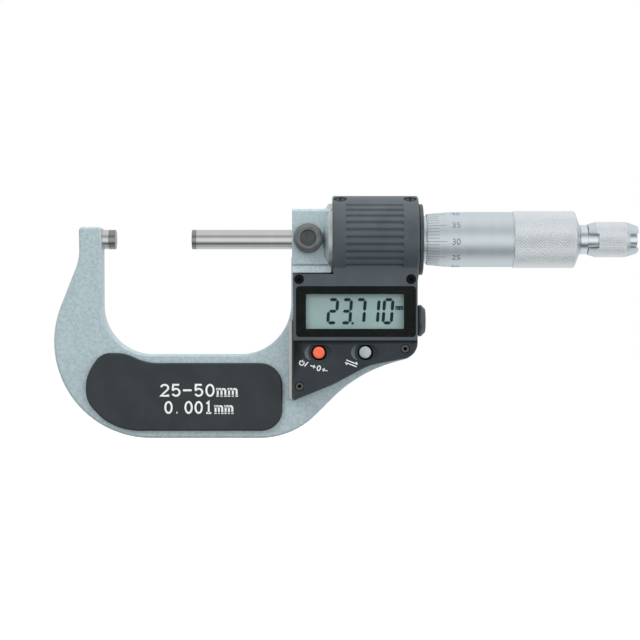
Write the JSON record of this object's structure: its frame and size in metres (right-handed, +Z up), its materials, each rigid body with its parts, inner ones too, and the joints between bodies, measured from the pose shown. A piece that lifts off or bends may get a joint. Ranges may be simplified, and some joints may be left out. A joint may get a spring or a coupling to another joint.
{
  "type": "outside micrometer",
  "caption": "Digital outside micrometer: a bow with an anvil, a screw spindle with thimble and ratchet, a spindle lock and a display housing, for measuring between two flat faces.",
  "frame": {"origin": "centre of the anvil's measuring face", "axes": "+X along the measuring axis from the anvil to the ratchet, +Z up with the bow hanging below the axis, the display faces -Y"},
  "size_m": [0.1936, 0.029, 0.0804],
  "materials": {
    "frame_paint": "hammertone",
    "grip_plastic": "satin",
    "housing_plastic": "satin",
    "ground_steel": "ground",
    "satin_chrome": "satin",
    "carbide": "lapped",
    "brass": "turned",
    "window": "gloss",
    "lcd": "gloss",
    "board": "satin",
    "chip": "matt",
    "screw_steel": "blackened",
    "lock_steel": "burnished",
    "rubber": "matt",
    "red_plastic": "satin",
    "grey_plastic": "satin",
    "cap_plastic": "satin"
  },
  "bodies": {
    "frame_body": {"frame": "frame_paint", "anvil": "ground_steel", "anvil_tip": "carbide", "front_grip_plate": "grip_plastic", "rear_grip_plate": "grip_plastic", "spindle_bush": "brass", "inner_sleeve": "ground_steel", "adjusting_nut": "ground_steel", "outer_sleeve": "satin_chrome", "housing_front": "housing_plastic", "housing_rear": "housing_plastic", "drum_end_ring": "housing_plastic", "display_window": "window", "lcd_panel": "lcd", "zebra_strip_upper": "rubber", "zebra_strip_lower": "rubber", "circuit_board": "board", "control_chip": "chip", "encoder_stator": "board", "encoder_ribbon": "brass", "battery_holder": "grip_plastic", "battery_contact": "brass", "battery_cell": "ground_steel", "power_key_switch": "screw_steel", "unit_key_switch": "screw_steel", "cover_screw_1": "screw_steel", "cover_screw_2": "screw_steel", "cover_screw_3": "ground_steel", "cover_screw_4": "ground_steel", "rear_screw_1": "screw_steel", "rear_screw_2": "ground_steel", "drum_screw_1": "screw_steel", "drum_screw_2": "screw_steel"},
    "rotor_body": {"encoder_rotor": "board", "rotor_key": "ground_steel"},
    "spindle_body": {"spindle": "ground_steel", "spindle_tip": "carbide", "thimble": "satin_chrome", "ratchet_stub": "satin_chrome", "ratchet_screw": "ground_steel", "ratchet_clutch": "ground_steel", "ratchet_spring": "ground_steel"},
    "ratchet_body": {"ratchet_knob": "satin_chrome"},
    "lock_pad_body": {"lock_pad": "brass"},
    "lock_knob_body": {"lock_knob": "lock_steel"},
    "cap_seal_body": {"battery_cap_seal": "rubber"},
    "cap_body": {"battery_cap": "cap_plastic"},
    "power_button_body": {"power_button": "red_plastic"},
    "unit_button_body": {"unit_button": "grey_plastic"}
  },
  "joints": [
    {"name": "spindle_turn", "type": "hinge", "parent": "frame_body", "child": "rotor_body", "pos_m": [0.08, 0, 0], "axis": [1, 0, 0], "range_deg": [-216, 17784]},
    {"name": "spindle_advance", "type": "slide", "parent": "rotor_body", "child": "spindle_body", "axis": [1, 0, 0], "range_m": [-0.0003, 0.0247]},
    {"name": "ratchet_spin", "type": "hinge", "parent": "spindle_body", "child": "ratchet_body", "pos_m": [0.1569, 0, 0], "axis": [1, 0, 0], "continuous": true},
    {"name": "lock_advance", "type": "slide", "parent": "frame_body", "child": "lock_pad_body", "axis": [0, 1, 0], "range_m": [0, 0.000175]},
    {"name": "lock_turn", "type": "hinge", "parent": "lock_pad_body", "child": "lock_knob_body", "pos_m": [0.064, -0.008, 0], "axis": [0, 1, 0], "range_deg": [0, 90]},
    {"name": "battery_cap_lift", "type": "slide", "parent": "frame_body", "child": "cap_seal_body", "axis": [1, 0, 0], "range_m": [0, 0.006]},
    {"name": "battery_cap_turn", "type": "hinge", "parent": "cap_seal_body", "child": "cap_body", "pos_m": [0.101, 0, -0.027], "axis": [1, 0, 0], "range_deg": [0, 2880]},
    {"name": "power_press", "type": "slide", "parent": "frame_body", "child": "power_button_body", "axis": [0, 1, 0], "range_m": [0, 0.0004], "stiffness_N_per_m": 2000},
    {"name": "unit_press", "type": "slide", "parent": "frame_body", "child": "unit_button_body", "axis": [0, 1, 0], "range_m": [0, 0.0004], "stiffness_N_per_m": 2000}
  ],
  "couplings": [
    {"joint": "spindle_turn", "follows": "spindle_advance", "rad_per_m": 12566},
    {"joint": "lock_turn", "follows": "lock_advance", "rad_per_m": 8976},
    {"joint": "battery_cap_turn", "follows": "battery_cap_lift", "rad_per_m": 8377.6}
  ]
}
